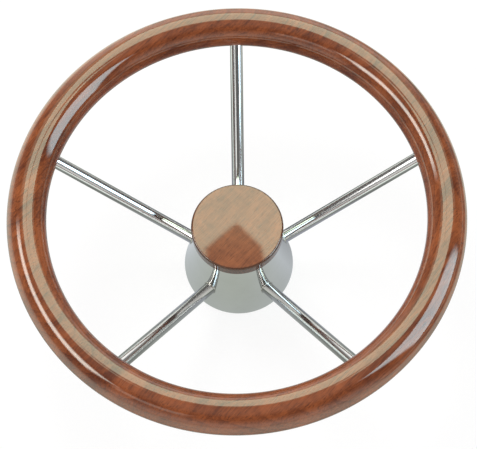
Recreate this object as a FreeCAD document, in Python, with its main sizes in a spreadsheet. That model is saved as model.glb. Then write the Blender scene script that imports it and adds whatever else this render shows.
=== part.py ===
import FreeCAD, Part
import Sketcher
import math
import os

# Boat steering wheel: a round wooden rim on five straight polished rods, which slope down
# to a conical hub closed by a turned wooden cap.
# Millimetres. The origin is the centre of the hub's rear face, +Z points along the wheel's
# axis towards the helmsman, and +Y points along the top spoke.

# Each row is a size that can be set by itself: its name, its value and what it measures.
SIZES = [
    ("overall_diameter", 350.0, "over the outside of the wooden rim"),
    ("rim_section", 30.0, "diameter of the rim's round section"),
    ("rim_height", 112.0, "from the hub's rear face to the rim's middle plane"),
    ("spoke_count", 5, "spokes, evenly spaced"),
    ("spoke_diameter", 10.0, "polished round rod"),
    ("spoke_foot_radius", 16.0, "from the wheel's axis to the middle of a spoke's inner end"),
    ("spoke_foot_height", 9.9, "from the hub's rear face to the middle of a spoke's inner end"),
    ("spoke_past_centre", 4.0, "how far a spoke runs past the middle of the rim's section"),
    ("spoke_end_chamfer", 0.6, "bevel on both ends of a spoke"),
    ("socket_gap", 0.1, "between a spoke and the wall of each hole that it sits in"),
    ("socket_end_gap", 0.4, "between a spoke's end and the floor of its socket"),
    ("hub_rear_diameter", 90.0, "hub shell at its rear edge"),
    ("hub_front_diameter", 69.6, "hub shell at its front edge, under the cap"),
    ("hub_length", 69.0, "hub shell, rear face to front face"),
    ("hub_land", 2.0, "straight band at the hub shell's rear edge"),
    ("hub_flare_radius", 310.0, "hollow curve of the hub shell's side"),
    ("hub_rear_wall", 3.5, "hub shell's wall at its rear edge"),
    ("hub_mouth_wall", 3.3, "hub shell's wall at its front edge"),
    ("hub_mouth_depth", 12.0, "straight seat inside the front edge, for the cap's spigot"),
    ("hub_edge_round", 0.8, "rounding of the hub shell's outer edges"),
    ("core_flange", 6.0, "thickness of the core's rear flange"),
    ("core_diameter", 46.0, "core's boss"),
    ("core_length", 40.0, "core, rear face to the face that the shaft nut bears on"),
    ("core_root_round", 2.5, "rounding between the boss and the flange"),
    ("core_top_chamfer", 1.5, "bevel round the nut's face"),
    ("taper_diameter", 19.05, "shaft bore at the rear face, three quarters of an inch"),
    ("taper_ratio", 12.0, "length over which the bore narrows by one on its diameter"),
    ("keyway_width", 4.8, "slot for the shaft's key"),
    ("keyway_depth", 2.4, "slot's depth beyond the bore at the rear face"),
    ("weld_gap", 0.1, "between the core's flange and the shell's seat"),
    ("cap_diameter", 72.6, "turned wooden cap"),
    ("cap_thickness", 10.4, "cap at its edge"),
    ("cap_crown", 1.0, "how far the cap's face rises from its edge to its centre"),
    ("cap_edge_round", 1.8, "rounding of the cap's front edge"),
    ("cap_back_round", 0.6, "rounding of the cap's back edge"),
    ("spigot_depth", 10.0, "cap's spigot, below the cap"),
    ("spigot_gap", 0.15, "between the spigot and its seat, all round"),
    ("spigot_wall", 4.0, "spigot's ring"),
    ("spigot_floor", 3.0, "spigot's disc, against the wood"),
    ("seal_groove_top", 4.0, "from the cap's underside to the top of the seal's groove"),
    ("seal_groove_width", 2.8, "groove for the seal"),
    ("seal_section", 2.1, "seal's thickness, as squeezed between groove and seat"),
    ("screw_count", 3, "screws that hold the spigot to the cap"),
    ("screw_circle", 40.0, "diameter of the circle that the screws stand on"),
    ("screw_diameter", 3.0, "screw's shank"),
    ("screw_head", 6.0, "countersunk head's diameter"),
    ("screw_length", 9.0, "screw, head and point included"),
    ("screw_point", 2.0, "length of the screw's point"),
    ("screw_gap", 0.1, "between a screw and the wall of its hole"),
]

doc = FreeCAD.newDocument("boat_steering_wheel")
sheet = doc.addObject("Spreadsheet::Sheet", "Sizes")
for row, (alias, number, meaning) in enumerate(SIZES, start=1):
    sheet.set(f"A{row}", alias)
    sheet.set(f"B{row}", str(number))
    sheet.set(f"C{row}", meaning)
    sheet.setAlias(f"B{row}", alias)
doc.recompute()

# Lengths and angles that several pieces share, worked out from the sheet.
RIM_RADIUS = "((Sizes.overall_diameter - Sizes.rim_section) / 2)"
SPOKE_RADIUS = "(Sizes.spoke_diameter / 2)"
SPOKE_RUN = f"({RIM_RADIUS} - Sizes.spoke_foot_radius)"
SPOKE_RISE = "(Sizes.rim_height - Sizes.spoke_foot_height)"
SPOKE_RAKE = f"atan({SPOKE_RISE} / {SPOKE_RUN})"
FOOT_DISTANCE = f"({SPOKE_RUN} / cos({SPOKE_RAKE}))"
SHELL_SEAT_RADIUS = "(Sizes.hub_rear_diameter / 2 - Sizes.hub_rear_wall)"
MOUTH_RADIUS = "(Sizes.hub_front_diameter / 2 - Sizes.hub_mouth_wall)"
CORE_RADIUS = "(Sizes.core_diameter / 2)"
SCREW_RADIUS = "(Sizes.screw_diameter / 2)"
HEAD_RADIUS = "(Sizes.screw_head / 2)"
FULL_TURN = 360.0
RIGHT_ANGLE = "90 deg"
OVERRUN = "5"
ON_AXIS = 1e-6
SAME_PLACE = 1e-4


def size_of(expression):
    """Present value of an expression over the sheet's sizes."""
    return float(sheet.evalExpression(expression))


def origin_feature(body, role):
    """One of the body's own origin planes or axes."""
    return [part for part in body.Origin.OriginFeatures if part.Role == role][0]


def new_body(name):
    """An empty sub-part whose Label names its file."""
    body = doc.addObject("PartDesign::Body", name)
    body.Label = name
    return body


def new_sketch(body, plane, name):
    """A sketch on one of the body's origin planes."""
    sketch = body.newObject("Sketcher::SketchObject", name)
    sketch.AttachmentSupport = [(origin_feature(body, plane), "")]
    sketch.MapMode = "FlatFace"
    return sketch


def bind_point(sketch, geometry, end, across, along):
    """Holds one end of a line or arc at a place given by two expressions."""
    for kind, axis, text in (("DistanceX", -2, across), ("DistanceY", -1, along)):
        if text == "0":
            sketch.addConstraint(Sketcher.Constraint("PointOnObject", geometry, end, axis))
            continue
        rule = Sketcher.Constraint(kind, -1, 1, geometry, end, size_of(text))
        index = sketch.addConstraint(rule)
        sketch.setExpression(f"Constraints[{index}]", text)


def curved_side(start, end, radius):
    """Arc between two corners; a positive radius has its centre to the left of the way."""
    chord = end - start
    reach = math.sqrt(radius ** 2 - (chord.Length / 2) ** 2)
    left = FreeCAD.Vector(-chord.y, chord.x, 0).normalize()
    side = 1 if radius > 0 else -1
    centre = (start + end) * 0.5 + left * reach * side
    first, last = (start, end) if radius > 0 else (end, start)
    turn_from = math.atan2(first.y - centre.y, first.x - centre.x)
    turn_to = math.atan2(last.y - centre.y, last.x - centre.x)
    circle = Part.Circle(centre, FreeCAD.Vector(0, 0, 1), abs(radius))
    return Part.ArcOfCircle(circle, turn_from, turn_to)


def closed_profile(sketch, corners, arcs=None):
    """Closed outline through corners; arcs gives the radius of the sides that are curved.

    A side is numbered by the corner that it leaves. A leading minus on its radius puts the
    centre to the right of the way.
    """
    arcs = arcs or {}
    points = [FreeCAD.Vector(size_of(across), size_of(along), 0) for across, along in corners]
    ends = []
    for number, start in enumerate(points):
        end = points[(number + 1) % len(points)]
        if number in arcs:
            radius = size_of(arcs[number])
            sketch.addGeometry(curved_side(start, end, radius))
            ends.append((1, 2) if radius > 0 else (2, 1))
        else:
            sketch.addGeometry(Part.LineSegment(start, end))
            ends.append((1, 2))
    for number in range(len(points)):
        following = (number + 1) % len(points)
        joint = (number, ends[number][1], following, ends[following][0])
        sketch.addConstraint(Sketcher.Constraint("Coincident", *joint))
    for number, (across, along) in enumerate(corners):
        bind_point(sketch, number, ends[number][0], across, along)
    for number, text in arcs.items():
        rule = Sketcher.Constraint("Radius", number, abs(size_of(text)))
        index = sketch.addConstraint(rule)
        sketch.setExpression(f"Constraints[{index}]", f"abs({text})")


def round_profile(sketch, across, along, radius):
    """Circle with its centre and radius given by expressions."""
    centre = FreeCAD.Vector(size_of(across), size_of(along), 0)
    circle = Part.Circle(centre, FreeCAD.Vector(0, 0, 1), size_of(radius))
    sketch.addGeometry(circle)
    bind_point(sketch, 0, 3, across, along)
    index = sketch.addConstraint(Sketcher.Constraint("Radius", 0, size_of(radius)))
    sketch.setExpression(f"Constraints[{index}]", radius)


def turning_axis(sketch, start, end):
    """Construction line that a profile turns about, after the profile's own sides."""
    first = FreeCAD.Vector(size_of(start[0]), size_of(start[1]), 0)
    last = FreeCAD.Vector(size_of(end[0]), size_of(end[1]), 0)
    line = sketch.addGeometry(Part.LineSegment(first, last), True)
    bind_point(sketch, line, 1, *start)
    bind_point(sketch, line, 2, *end)


def turned(body, sketch, name, axis="V_Axis", cut=False):
    """Full turn of a profile, which adds material or, with cut, takes it away."""
    kind = "PartDesign::Groove" if cut else "PartDesign::Revolution"
    feature = body.newObject(kind, name)
    feature.Profile = sketch
    feature.ReferenceAxis = (sketch, [axis])
    feature.Angle = FULL_TURN
    sketch.Visibility = False
    return feature


def repeated(body, feature, name, count):
    """Copies of a feature, evenly spaced about the body's Z axis."""
    pattern = body.newObject("PartDesign::PolarPattern", name)
    pattern.Originals = [feature]
    pattern.Axis = (origin_feature(body, "Z_Axis"), [""])
    pattern.Angle = FULL_TURN
    pattern.setExpression("Occurrences", count)
    body.Tip = pattern
    return pattern


def ring_edges(shape, rings):
    """Names of the circular edges about Z that have the given radii and heights."""
    wanted = [(size_of(radius), size_of(height)) for radius, height in rings]
    names = []
    for number, edge in enumerate(shape.Edges, start=1):
        if edge.Degenerated or not isinstance(edge.Curve, Part.Circle):
            continue
        centre = edge.Curve.Center
        if math.hypot(centre.x, centre.y) > ON_AXIS:
            continue
        for radius, height in wanted:
            if max(abs(edge.Curve.Radius - radius), abs(centre.z - height)) < SAME_PLACE:
                names.append(f"Edge{number}")
    return names


def eased(body, feature, name, rings, amount, bevel=False):
    """Rounds or, with bevel, chamfers the ring edges of a feature."""
    doc.recompute()
    kind = "PartDesign::Chamfer" if bevel else "PartDesign::Fillet"
    dressed = body.newObject(kind, name)
    dressed.Base = (feature, ring_edges(feature.Shape, rings))
    dressed.setExpression("Size" if bevel else "Radius", amount)
    return dressed


def along_spoke(distance, rim_plane):
    """Point on a spoke's axis, so far inwards from the middle of the rim's section."""
    across = f"{RIM_RADIUS} - ({distance}) * cos({SPOKE_RAKE})"
    along = f"({rim_plane}) - ({distance}) * sin({SPOKE_RAKE})"
    return across, along


def spoke_holes(body, name, inner, outer, rim_plane):
    """Round holes along the spokes' axes, between two distances from the rim's section."""
    bore = f"({SPOKE_RADIUS} + Sizes.socket_gap)"
    low = along_spoke(inner, rim_plane)
    high = along_spoke(outer, rim_plane)
    lift = (f" - {bore} * sin({SPOKE_RAKE})", f" + {bore} * cos({SPOKE_RAKE})")
    high_wall = (high[0] + lift[0], high[1] + lift[1])
    low_wall = (low[0] + lift[0], low[1] + lift[1])
    sketch = new_sketch(body, "YZ_Plane", name + "_profile")
    closed_profile(sketch, [low, high, high_wall, low_wall])
    turning_axis(sketch, low, high)
    hole = turned(body, sketch, name + "_first", axis="Axis0", cut=True)
    return repeated(body, hole, name, "Sizes.spoke_count")


def wooden_rim():
    """Round-section ring, drilled from inside for the spokes."""
    body = new_body("wooden_rim")
    sketch = new_sketch(body, "XZ_Plane", "rim_section_profile")
    round_profile(sketch, RIM_RADIUS, "0", "Sizes.rim_section / 2")
    turned(body, sketch, "rim_ring")
    floor = "(0 - Sizes.spoke_past_centre - Sizes.socket_end_gap)"
    spoke_holes(body, "rim_sockets", f"Sizes.rim_section / 2 + {OVERRUN}", floor, "0")
    body.setExpression("Placement.Base.z", "Sizes.rim_height")
    return body


def spoke(number, name):
    """Straight rod from a socket in the core to a socket in the rim, turned to its place."""
    body = new_body(name)
    sketch = new_sketch(body, "XY_Plane", name + "_section")
    round_profile(sketch, "0", "0", SPOKE_RADIUS)
    rod = body.newObject("PartDesign::Pad", name + "_rod")
    rod.Profile = sketch
    rod.setExpression("Length", f"{FOOT_DISTANCE} + Sizes.spoke_past_centre")
    sketch.Visibility = False
    length = f"{FOOT_DISTANCE} + Sizes.spoke_past_centre"
    rings = [(SPOKE_RADIUS, "0"), (SPOKE_RADIUS, length)]
    eased(body, rod, name + "_ends", rings, "Sizes.spoke_end_chamfer", bevel=True)
    bearing = f"({FULL_TURN} * {number} / Sizes.spoke_count)"
    foot_height = along_spoke(FOOT_DISTANCE, "Sizes.rim_height")[1]
    across = f"Sizes.spoke_foot_radius * sin{bearing}"
    upwards = f"Sizes.spoke_foot_radius * cos{bearing}"
    turn = f"rotation(0 - {bearing}; 0; {SPOKE_RAKE} - {RIGHT_ANGLE})"
    place = f"placement(vector({across}; {upwards}; {foot_height}); {turn})"
    body.setExpression("Placement", place)
    return body


def hub_shell():
    """Hollow cone with a gently hollow side, open at both ends and drilled for the spokes."""
    body = new_body("hub_shell")
    sketch = new_sketch(body, "XZ_Plane", "shell_profile")
    rear_radius = "(Sizes.hub_rear_diameter / 2)"
    front_radius = "Sizes.hub_front_diameter / 2"
    corners = [
        (SHELL_SEAT_RADIUS, "0"),
        (rear_radius, "0"),
        (rear_radius, "Sizes.hub_land"),
        (front_radius, "Sizes.hub_length"),
        (MOUTH_RADIUS, "Sizes.hub_length"),
        (MOUTH_RADIUS, "Sizes.hub_length - Sizes.hub_mouth_depth"),
        (SHELL_SEAT_RADIUS, "Sizes.core_flange"),
    ]
    inner_curve = "(Sizes.hub_flare_radius + Sizes.hub_mouth_wall)"
    closed_profile(sketch, corners, {2: "0 - Sizes.hub_flare_radius", 5: inner_curve})
    cone = turned(body, sketch, "shell_cone")
    rings = [(rear_radius, "0"), (rear_radius, "Sizes.hub_land"), (front_radius, "Sizes.hub_length")]
    eased(body, cone, "shell_edges", rings, "Sizes.hub_edge_round")
    inner = f"({RIM_RADIUS} - {CORE_RADIUS} - {OVERRUN}) / cos({SPOKE_RAKE})"
    outer = f"({RIM_RADIUS} - {rear_radius} - {OVERRUN}) / cos({SPOKE_RAKE})"
    spoke_holes(body, "shell_holes", inner, outer, "Sizes.rim_height")
    return body


def hub_core():
    """Flanged boss inside the shell: it holds the spokes' feet and takes the tapered shaft."""
    body = new_body("hub_core")
    sketch = new_sketch(body, "XZ_Plane", "core_profile")
    flange_radius = f"({SHELL_SEAT_RADIUS} - Sizes.weld_gap)"
    bore_rear = "Sizes.taper_diameter / 2"
    bore_front = "(Sizes.taper_diameter - Sizes.core_length / Sizes.taper_ratio) / 2"
    corners = [
        (bore_rear, "0"),
        (flange_radius, "0"),
        (flange_radius, "Sizes.core_flange"),
        (CORE_RADIUS, "Sizes.core_flange"),
        (CORE_RADIUS, "Sizes.core_length"),
        (bore_front, "Sizes.core_length"),
    ]
    closed_profile(sketch, corners)
    boss = turned(body, sketch, "core_boss")
    root = [(CORE_RADIUS, "Sizes.core_flange")]
    rounded = eased(body, boss, "core_root", root, "Sizes.core_root_round")
    top = [(CORE_RADIUS, "Sizes.core_length")]
    eased(body, rounded, "core_rim", top, "Sizes.core_top_chamfer", bevel=True)
    inner = f"{FOOT_DISTANCE} + Sizes.socket_end_gap"
    outer = f"({RIM_RADIUS} - {CORE_RADIUS} - {OVERRUN}) / cos({SPOKE_RAKE})"
    spoke_holes(body, "core_sockets", inner, outer, "Sizes.rim_height")
    slot = new_sketch(body, "XY_Plane", "keyway_profile")
    half_width = "Sizes.keyway_width / 2"
    depth = "0 - Sizes.taper_diameter / 2 - Sizes.keyway_depth"
    corners = [
        (f"0 - {half_width}", "0"),
        (f"0 - {half_width}", depth),
        (half_width, depth),
        (half_width, "0"),
    ]
    closed_profile(slot, corners)
    keyway = body.newObject("PartDesign::Pocket", "keyway")
    keyway.Profile = slot
    keyway.Type = "ThroughAll"
    keyway.Reversed = True
    slot.Visibility = False
    return body


def screw_hole_outline(bottom):
    """Half outline of a countersunk hole through the spigot's disc, from a lower edge up."""
    axis = "Sizes.screw_circle / 2"
    shank = f"{axis} + {SCREW_RADIUS} + Sizes.screw_gap"
    head = f"{axis} + {HEAD_RADIUS} + Sizes.screw_gap"
    face = "0 - Sizes.spigot_floor"
    neck = f"{face} + {HEAD_RADIUS} - {SCREW_RADIUS}"
    return [(axis, bottom), (head, bottom), (head, face), (shank, neck), (shank, OVERRUN), (axis, OVERRUN)]


def wooden_cap():
    """Turned disc with a slightly crowned face, drilled from behind for the screws."""
    body = new_body("wooden_cap")
    sketch = new_sketch(body, "XZ_Plane", "cap_profile")
    radius = "Sizes.cap_diameter / 2"
    crown_radius = f"(({radius}) ^ 2 + Sizes.cap_crown ^ 2) / (2 * Sizes.cap_crown)"
    corners = [
        ("0", "0"),
        (radius, "0"),
        (radius, "Sizes.cap_thickness"),
        ("0", "Sizes.cap_thickness + Sizes.cap_crown"),
    ]
    closed_profile(sketch, corners, {2: crown_radius})
    disc = turned(body, sketch, "cap_disc")
    front = [(radius, "Sizes.cap_thickness")]
    rounded = eased(body, disc, "cap_front_edge", front, "Sizes.cap_edge_round")
    eased(body, rounded, "cap_back_edge", [(radius, "0")], "Sizes.cap_back_round")
    pilot = new_sketch(body, "YZ_Plane", "pilot_profile")
    axis = "Sizes.screw_circle / 2"
    wall = f"{axis} + {SCREW_RADIUS} + Sizes.screw_gap"
    below = f"0 - {OVERRUN}"
    tip = "Sizes.screw_length - Sizes.spigot_floor"
    corners = [(axis, below), (wall, below), (wall, f"{tip} - Sizes.screw_point"), (axis, tip)]
    closed_profile(pilot, corners)
    turning_axis(pilot, (axis, below), (axis, tip))
    hole = turned(body, pilot, "pilot_hole", axis="Axis0", cut=True)
    repeated(body, hole, "pilot_holes", "Sizes.screw_count")
    body.setExpression("Placement.Base.z", "Sizes.hub_length")
    return body


def cap_spigot():
    """Shallow cup behind the cap: its ring plugs into the shell's mouth and holds the seal."""
    body = new_body("cap_spigot")
    sketch = new_sketch(body, "XZ_Plane", "spigot_profile")
    outside = f"({MOUTH_RADIUS} - Sizes.spigot_gap)"
    inside = f"({outside} - Sizes.spigot_wall)"
    groove_floor = f"({MOUTH_RADIUS} - Sizes.seal_section)"
    bottom = "0 - Sizes.spigot_depth"
    groove_top = "0 - Sizes.seal_groove_top"
    groove_bottom = "0 - Sizes.seal_groove_top - Sizes.seal_groove_width"
    corners = [
        ("0", "0"),
        ("0", "0 - Sizes.spigot_floor"),
        (inside, "0 - Sizes.spigot_floor"),
        (inside, bottom),
        (outside, bottom),
        (outside, groove_bottom),
        (groove_floor, groove_bottom),
        (groove_floor, groove_top),
        (outside, groove_top),
        (outside, "0"),
    ]
    closed_profile(sketch, corners)
    turned(body, sketch, "spigot_cup")
    bore = new_sketch(body, "YZ_Plane", "screw_hole_profile")
    below = f"0 - Sizes.spigot_floor - {OVERRUN}"
    closed_profile(bore, screw_hole_outline(below))
    turning_axis(bore, ("Sizes.screw_circle / 2", below), ("Sizes.screw_circle / 2", OVERRUN))
    hole = turned(body, bore, "screw_hole", axis="Axis0", cut=True)
    repeated(body, hole, "screw_holes", "Sizes.screw_count")
    body.setExpression("Placement.Base.z", "Sizes.hub_length")
    return body


def cap_seal():
    """Rubber ring between the spigot's groove and the shell's mouth."""
    body = new_body("cap_seal")
    sketch = new_sketch(body, "XZ_Plane", "seal_profile")
    middle = f"{MOUTH_RADIUS} - Sizes.seal_section / 2"
    height = "0 - Sizes.seal_groove_top - Sizes.seal_groove_width / 2"
    round_profile(sketch, middle, height, "Sizes.seal_section / 2")
    turned(body, sketch, "seal_ring")
    body.setExpression("Placement.Base.z", "Sizes.hub_length")
    return body


def cap_screws():
    """Countersunk wood screws, one group, driven up through the spigot into the cap."""
    body = new_body("cap_screws")
    sketch = new_sketch(body, "YZ_Plane", "screw_profile")
    axis = "Sizes.screw_circle / 2"
    shank = f"{axis} + {SCREW_RADIUS}"
    face = "0 - Sizes.spigot_floor"
    neck = f"{face} + {HEAD_RADIUS} - {SCREW_RADIUS}"
    tip = f"{face} + Sizes.screw_length"
    corners = [
        (axis, face),
        (f"{axis} + {HEAD_RADIUS}", face),
        (shank, neck),
        (shank, f"{tip} - Sizes.screw_point"),
        (axis, tip),
    ]
    closed_profile(sketch, corners)
    turning_axis(sketch, (axis, face), (axis, tip))
    screw = turned(body, sketch, "screw", axis="Axis0")
    repeated(body, screw, "screw_ring", "Sizes.screw_count")
    body.setExpression("Placement.Base.z", "Sizes.hub_length")
    return body


# Clockwise from the top spoke, as the helmsman sees them.
SPOKE_NAMES = ["spoke_top", "spoke_right", "spoke_lower_right", "spoke_lower_left", "spoke_left"]


def spoke_name(number):
    """Name of a spoke; any beyond the five of this wheel are numbered."""
    if number < len(SPOKE_NAMES):
        return SPOKE_NAMES[number]
    return f"spoke_{number + 1}"


pieces = [wooden_rim(), hub_shell(), hub_core()]
for number in range(round(size_of("Sizes.spoke_count"))):
    pieces.append(spoke(number, spoke_name(number)))
pieces += [wooden_cap(), cap_spigot(), cap_seal(), cap_screws()]
doc.recompute()

for item in doc.Objects:
    if "Invalid" in item.State or "Error" in item.State:
        raise RuntimeError(f"{item.Name} did not build: {item.State}")
for piece in pieces:
    if piece.Shape.isNull() or not piece.Shape.isValid():
        raise RuntimeError(f"{piece.Label} has no valid shape")

os.makedirs("parts", exist_ok=True)
for piece in pieces:
    shape = piece.Shape
    shape.exportStep(os.path.join("parts", piece.Label + ".step"))
    box = shape.BoundBox
    span = f"{box.XLength:.2f} x {box.YLength:.2f} x {box.ZLength:.2f} mm"
    print(f"{piece.Label}: {len(shape.Solids)} solid(s), {shape.Volume / 1000:.2f} cm3, {span}")
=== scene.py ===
# %% [markdown]
# # A varnished boat steering wheel
# This lesson dresses a boat's steering wheel: a round wooden rim on five polished rods, a hollow
# steel cone as hub and a turned wooden cap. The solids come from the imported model, which stays
# where it is. Here they get their finish, and the pieces whose surface needs more care are
# built again, finer, in the same place. All lengths are in metres.

# %% Load the fixed frame
import math

import bmesh
import bpy
import numpy as np
from mathutils import Matrix, Vector


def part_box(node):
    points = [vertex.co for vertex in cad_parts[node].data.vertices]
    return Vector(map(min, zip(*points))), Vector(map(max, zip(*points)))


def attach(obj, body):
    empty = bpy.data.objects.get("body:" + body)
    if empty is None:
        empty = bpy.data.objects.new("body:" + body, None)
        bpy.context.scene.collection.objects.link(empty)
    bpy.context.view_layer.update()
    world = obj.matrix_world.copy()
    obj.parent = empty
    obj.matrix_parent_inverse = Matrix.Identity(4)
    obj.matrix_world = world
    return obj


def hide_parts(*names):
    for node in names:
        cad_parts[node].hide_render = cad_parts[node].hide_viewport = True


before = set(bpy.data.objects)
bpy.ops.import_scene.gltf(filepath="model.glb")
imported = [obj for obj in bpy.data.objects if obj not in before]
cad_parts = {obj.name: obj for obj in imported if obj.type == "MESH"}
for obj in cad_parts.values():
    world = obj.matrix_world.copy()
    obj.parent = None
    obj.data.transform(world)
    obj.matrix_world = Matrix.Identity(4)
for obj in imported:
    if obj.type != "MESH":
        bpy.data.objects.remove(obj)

SCENE = bpy.context.scene
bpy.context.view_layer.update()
print("solids loaded:", len(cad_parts))

# %% [markdown]
# The frame gives each solid's box, so the wheel's main sizes are read from it and not typed in
# again. The rim is a ring with a round section: its box is one outer diameter wide and one
# section high. The spokes are straight rods, so the direction in which a spoke's points spread
# most is its axis.

# %% Main sizes, read from the frame
RIM_LOW, RIM_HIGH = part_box("wooden_rim")
SECTION_RADIUS = (RIM_HIGH.z - RIM_LOW.z) / 2
RIM_HEIGHT = (RIM_HIGH.z + RIM_LOW.z) / 2
RIM_RADIUS = RIM_HIGH.x - SECTION_RADIUS
RIM_CENTRE = Vector((0, 0, RIM_HEIGHT))
CAP_LOW, CAP_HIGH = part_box("wooden_cap")
SPOKES = [name for name in sorted(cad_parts) if name.startswith("spoke_")]


def rod_ends(name):
    """Centres of a straight rod's two ends, the one near the hub first, and its radius."""
    points = np.array([vertex.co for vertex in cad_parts[name].data.vertices])
    middle = points.mean(axis=0)
    along = np.linalg.svd(points - middle, full_matrices=False)[2][0]
    along = along if along[2] > 0 else -along
    places = (points - middle) @ along
    sides = points - middle - np.outer(places, along)
    radius = np.linalg.norm(sides, axis=1).max()
    ends = [Vector(middle + along * place) for place in (places.min(), places.max())]
    return ends[0], ends[1], float(radius)


RODS = {name: rod_ends(name) for name in SPOKES}
print(f"rim radius {RIM_RADIUS:.4f}, section {SECTION_RADIUS:.4f}, height {RIM_HEIGHT:.4f}")
print(f"cap radius {(CAP_HIGH.x - CAP_LOW.x) / 2:.4f}")
for spoke, (inner, outer, radius) in RODS.items():
    print(f"{spoke}: length {(outer - inner).length:.4f}, radius {radius:.4f}")

# %% [markdown]
# The camera comes first, because every later choice is judged through it. It stands in front of
# the wheel, a little over twenty degrees off its axis, and far enough away for a long lens. Its
# place is a distance and two angles, and its aim three small turns in radians, all found by
# matching the outlines of the rim, the spokes and the cap.

# %% Camera
IMAGE_WIDTH = 477
CAMERA_DISTANCE = 6.7763 * RIM_RADIUS
CAMERA_TILT = math.radians(23.212)
CAMERA_BEARING = math.radians(2.389)
CAMERA_YAW = 0.001
CAMERA_PITCH = -0.0104
CAMERA_ROLL = -0.0479
FOCAL_PIXELS = 1423.7
SENSOR_WIDTH = 36.0
CLIP_START = 0.05
CLIP_END = 50.0


def turned(first, second, angle):
    """Two crossed directions, both turned by an angle in their own plane."""
    cosine, sine = math.cos(angle), math.sin(angle)
    return first * cosine + second * sine, second * cosine - first * sine


def add_camera():
    """Camera on the near side of the wheel, aimed at the rim's centre with small corrections."""
    outward = Vector((
        math.sin(CAMERA_TILT) * math.sin(CAMERA_BEARING),
        -math.sin(CAMERA_TILT) * math.cos(CAMERA_BEARING),
        math.cos(CAMERA_TILT),
    ))
    forward = -outward
    right = forward.cross(Vector((0, 0, 1))).normalized()
    up = right.cross(forward)
    forward, right = turned(forward, right, CAMERA_YAW)
    forward, up = turned(forward, up, CAMERA_PITCH)
    right, up = turned(right, up, CAMERA_ROLL)
    data = bpy.data.cameras.new("camera")
    data.sensor_fit = "HORIZONTAL"
    data.sensor_width = SENSOR_WIDTH
    data.lens = SENSOR_WIDTH * FOCAL_PIXELS / IMAGE_WIDTH
    data.clip_start = CLIP_START
    data.clip_end = CLIP_END
    camera = bpy.data.objects.new("camera", data)
    SCENE.collection.objects.link(camera)
    aim = Matrix((right, up, -forward)).transposed().to_4x4()
    camera.matrix_world = Matrix.Translation(RIM_CENTRE + outward * CAMERA_DISTANCE) @ aim
    SCENE.camera = camera
    return camera


CAMERA = add_camera()
print(f"lens {CAMERA.data.lens:.1f} mm, {CAMERA_DISTANCE:.3f} m from the rim's centre")

# %% [markdown]
# Every finish, the floor and the room are small networks of shader nodes. A node's sockets
# could be filled and linked one by one, but that hides the idea in a long list. These helpers
# keep a network short: each adds one node, fills or links its sockets, and hands on the result.

# %% Helpers for nodes
def add_node(tree, kind, inputs=None, **settings):
    """A node with its settings and the values of its sockets; a socket as a value is linked."""
    node = tree.nodes.new(kind)
    for name, value in settings.items():
        setattr(node, name, value)
    for name, value in (inputs or {}).items():
        socket = node.inputs[name]
        if isinstance(value, bpy.types.NodeSocket):
            tree.links.new(value, socket)
        else:
            socket.default_value = value
    return node


def sum_of(tree, operation, first, second=0.0, third=0.0, clamp=False):
    """Result of one sum on numbers or sockets."""
    inputs = {0: first, 1: second, 2: third}
    return add_node(tree, "ShaderNodeMath", inputs, operation=operation, use_clamp=clamp).outputs[0]


def share_between(tree, value, low, high, top=1.0, mode="LINEAR"):
    """Number that rises from 0 to the top while the value goes from low to high."""
    inputs = {"Value": value, "From Min": low, "From Max": high, "To Max": top}
    return add_node(tree, "ShaderNodeMapRange", inputs, interpolation_type=mode).outputs[0]


def stretched(tree, vector, scale):
    """The vector with each axis scaled by its own amount."""
    node = add_node(tree, "ShaderNodeVectorMath", {0: vector, 1: scale}, operation="MULTIPLY")
    return node.outputs[0]


def length_of(tree, vector):
    """Length of a vector."""
    return add_node(tree, "ShaderNodeVectorMath", {0: vector}, operation="LENGTH").outputs["Value"]


def distance_to(tree, place, centre):
    """Distance from a place to a centre."""
    inputs = {0: place, 1: centre}
    return add_node(tree, "ShaderNodeVectorMath", inputs, operation="DISTANCE").outputs["Value"]


def direction_of(tree, vector):
    """The vector brought to a length of 1."""
    return add_node(tree, "ShaderNodeVectorMath", {0: vector}, operation="NORMALIZE").outputs[0]


def axes_of(tree, vector):
    """The three numbers of a vector, as sockets X, Y and Z."""
    return add_node(tree, "ShaderNodeSeparateXYZ", {"Vector": vector}).outputs


def flat_of(tree, axes):
    """The vector of the first two axes, with no height."""
    return add_node(tree, "ShaderNodeCombineXYZ", {"X": axes["X"], "Y": axes["Y"]}).outputs[0]


def ramp(tree, value, stops, mode="LINEAR"):
    """Colour from a number, by a list of places and grey levels or colours."""
    node = add_node(tree, "ShaderNodeValToRGB", {"Fac": value})
    elements = node.color_ramp.elements
    node.color_ramp.interpolation = mode
    while len(elements) < len(stops):
        elements.new(1.0)
    for element, (place, colour) in zip(elements, stops):
        element.position = place
        rgb = (colour,) * 3 if isinstance(colour, (int, float)) else colour
        element.color = (*rgb, 1.0)
    return node.outputs["Color"]


def blend(tree, share, first, second, mode="MIX"):
    """Colour between two colours or sockets."""
    node = add_node(tree, "ShaderNodeMix", data_type="RGBA", blend_type=mode)
    for name, value in (("Factor_Float", share), ("A_Color", first), ("B_Color", second)):
        socket = next(item for item in node.inputs if item.identifier == name)
        if isinstance(value, bpy.types.NodeSocket):
            tree.links.new(value, socket)
        else:
            socket.default_value = value if isinstance(value, float) else (*value[:3], 1.0)
    return next(item for item in node.outputs if item.identifier == "Result_Color")


def empty_tree(owner):
    """The cleared node tree of a material or of the world."""
    owner.use_nodes = True
    owner.node_tree.nodes.clear()
    return owner.node_tree


def put_out(tree, shader, kind="ShaderNodeOutputMaterial"):
    """Output node that shows a shader."""
    output = add_node(tree, kind)
    tree.links.new(shader.outputs[0], output.inputs["Surface"])


print("node helpers ready")

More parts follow.
